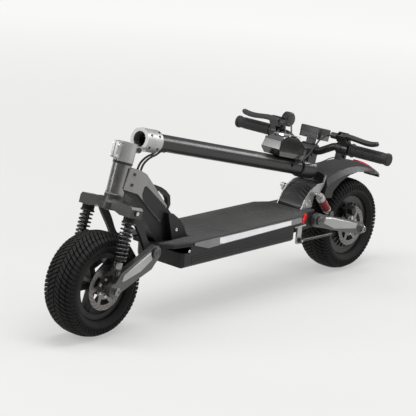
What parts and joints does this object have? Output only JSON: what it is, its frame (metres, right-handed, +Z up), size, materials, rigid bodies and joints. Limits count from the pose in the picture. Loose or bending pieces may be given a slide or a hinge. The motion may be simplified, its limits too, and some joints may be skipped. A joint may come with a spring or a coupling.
{
  "type": "electric kick scooter",
  "caption": "Folded electric kick scooter: knobby wheels on sprung swing arms, black deck with battery tray, stem laid back over the deck, handlebar, levers, display and lamp.",
  "frame": {"origin": "bottom centre of the folded scooter's box, on the ground plane", "axes": "+X forward, +Y to the rider's left, +Z up; the folded stem points to -X"},
  "size_m": [1.362, 0.564, 0.539],
  "materials": {
    "tyre": "matte",
    "rubber": "matte",
    "black_metal": "satin",
    "grey_metal": "satin",
    "dark_alloy": "satin",
    "silver_alloy": "satin",
    "steel": "brushed",
    "red_metal": "satin",
    "black_plastic": "matte",
    "grey_plastic": "matte",
    "gloss_black": "gloss",
    "red_lens": "gloss",
    "clear_lens": "clear"
  },
  "bodies": {
    "frame": {"deck_frame": "black_metal", "battery_box": "black_metal", "battery_pack": "black_plastic", "motor_controller": "black_plastic", "deck_mat": "rubber", "side_trims": "grey_plastic", "red_lenses": "red_lens", "neck_core": "black_metal", "neck_side_plates": "grey_metal", "carry_hook": "black_metal", "kick_plate": "black_metal", "kick_plate_brackets": "silver_alloy", "rear_fender": "black_plastic", "frame_bolts": "steel", "kickstand_bracket": "silver_alloy", "neck_cables": "black_plastic", "head_tube": "dark_alloy", "headset_bearings": "steel"},
    "fork": {"steerer_tube": "black_metal", "fork_crown": "grey_metal", "fork_legs": "black_metal", "stem_clamp": "silver_alloy", "fork_pins": "steel"},
    "front_arm": {"front_arms": "silver_alloy", "front_axle": "steel", "front_caliper": "black_metal"},
    "front_wheel": {"front_tyre": "tyre", "front_rim": "black_metal", "front_wheel_bearings": "steel", "front_brake_disc": "dark_alloy"},
    "front_damper_upper": {"front_shock_bodies": "black_metal", "front_springs": "black_metal"},
    "front_damper_lower": {"front_shock_rods": "dark_alloy"},
    "rear_arm": {"rear_arms": "silver_alloy", "rear_axle": "steel", "rear_caliper": "black_metal"},
    "rear_wheel": {"rear_tyre": "tyre", "rear_hub_motor": "black_metal", "rear_brake_disc": "dark_alloy"},
    "rear_damper_upper": {"rear_shock_bodies": "silver_alloy", "rear_springs": "red_metal"},
    "rear_damper_lower": {"rear_shock_rods": "silver_alloy"},
    "stem": {"stem_hinge_housing": "silver_alloy", "stem_tube": "dark_alloy", "bar_clamp": "dark_alloy", "handlebar": "black_metal", "grips": "rubber", "lever_perches": "black_metal", "display_unit": "gloss_black", "headlight_housing": "black_plastic", "headlight_lens": "clear_lens", "bell": "silver_alloy", "switch_pod": "black_plastic", "throttle_body": "black_plastic", "bar_cables": "black_plastic"},
    "left_lever": {"left_brake_lever": "silver_alloy"},
    "right_lever": {"right_brake_lever": "silver_alloy"},
    "throttle": {"throttle_paddle": "black_plastic"},
    "button": {"mode_button": "black_plastic"},
    "stand": {"kickstand": "black_metal"}
  },
  "joints": [
    {"name": "steer", "type": "hinge", "parent": "frame", "child": "fork", "pos_m": [0.4794, 0, 0.36989], "axis": [-0.2588, 0, 0.9659], "range_deg": [-35, 35]},
    {"name": "stem_fold", "type": "hinge", "parent": "fork", "child": "stem", "pos_m": [0.41962, 0, 0.48483], "axis": [0, 1, 0], "range_deg": [0, 88.5], "deforming": ["neck_cables"]},
    {"name": "front_suspension", "type": "hinge", "parent": "fork", "child": "front_arm", "pos_m": [0.393, 0, 0.217], "axis": [0, -1, 0], "range_deg": [0, 8], "stiffness_Nm_per_rad": 150, "springref_deg": -17.19},
    {"name": "front_spin", "type": "hinge", "parent": "front_arm", "child": "front_wheel", "pos_m": [0.541, 0, 0.14], "axis": [0, 1, 0], "continuous": true},
    {"name": "front_damper_tilt", "type": "hinge", "parent": "fork", "child": "front_damper_upper", "pos_m": [0.492, 0, 0.34221], "axis": [0, -1, 0], "range_deg": [0, 3.14]},
    {"name": "front_damper_slide", "type": "slide", "parent": "front_damper_upper", "child": "front_damper_lower", "axis": [-0.2588, 0, 0.9659], "range_m": [0, 0.01827], "deforming": ["front_springs"]},
    {"name": "rear_suspension", "type": "hinge", "parent": "frame", "child": "rear_arm", "pos_m": [-0.304, 0, 0.198], "axis": [0, 1, 0], "range_deg": [0, 7.5], "stiffness_Nm_per_rad": 250, "springref_deg": -17.19},
    {"name": "rear_spin", "type": "hinge", "parent": "rear_arm", "child": "rear_wheel", "pos_m": [-0.519, 0, 0.14], "axis": [0, 1, 0], "continuous": true},
    {"name": "rear_damper_tilt", "type": "hinge", "parent": "frame", "child": "rear_damper_upper", "pos_m": [-0.316, 0, 0.271], "axis": [0, -1, 0], "range_deg": [-3.41, 0]},
    {"name": "rear_damper_slide", "type": "slide", "parent": "rear_damper_upper", "child": "rear_damper_lower", "axis": [0.6709, 0, 0.7415], "range_m": [0, 0.00777], "deforming": ["rear_springs"]},
    {"name": "left_brake", "type": "hinge", "parent": "stem", "child": "left_lever", "pos_m": [-0.32601, 0.12, 0.45494], "axis": [-0.91, 0, 0.4147], "range_deg": [0, 8], "stiffness_Nm_per_rad": 1.5, "springref_deg": -11.46},
    {"name": "right_brake", "type": "hinge", "parent": "stem", "child": "right_lever", "pos_m": [-0.32601, -0.12, 0.45494], "axis": [0.91, 0, -0.4147], "range_deg": [0, 8], "stiffness_Nm_per_rad": 1.5, "springref_deg": -11.46},
    {"name": "throttle_turn", "type": "hinge", "parent": "stem", "child": "throttle", "pos_m": [-0.33872, -0.157, 0.39224], "axis": [0, 1, 0], "range_deg": [0, 25], "stiffness_Nm_per_rad": 0.2, "springref_deg": -20.05},
    {"name": "mode_press", "type": "slide", "parent": "stem", "child": "button", "axis": [0, -1, 0], "range_m": [0, 0.0015], "stiffness_N_per_m": 300, "springref_m": -0.003},
    {"name": "kickstand_swing", "type": "hinge", "parent": "frame", "child": "stand", "pos_m": [-0.219, 0.088, 0.152], "axis": [0, -1, 0], "range_deg": [0, 95]}
  ],
  "couplings": [
    {"joint": "front_damper_tilt", "follows": "front_suspension", "ratio": 0.39203},
    {"joint": "front_damper_slide", "follows": "front_suspension", "m_per_rad": 0.1306},
    {"joint": "rear_damper_tilt", "follows": "rear_suspension", "ratio": -0.45338},
    {"joint": "rear_damper_slide", "follows": "rear_suspension", "m_per_rad": 0.059212}
  ]
}
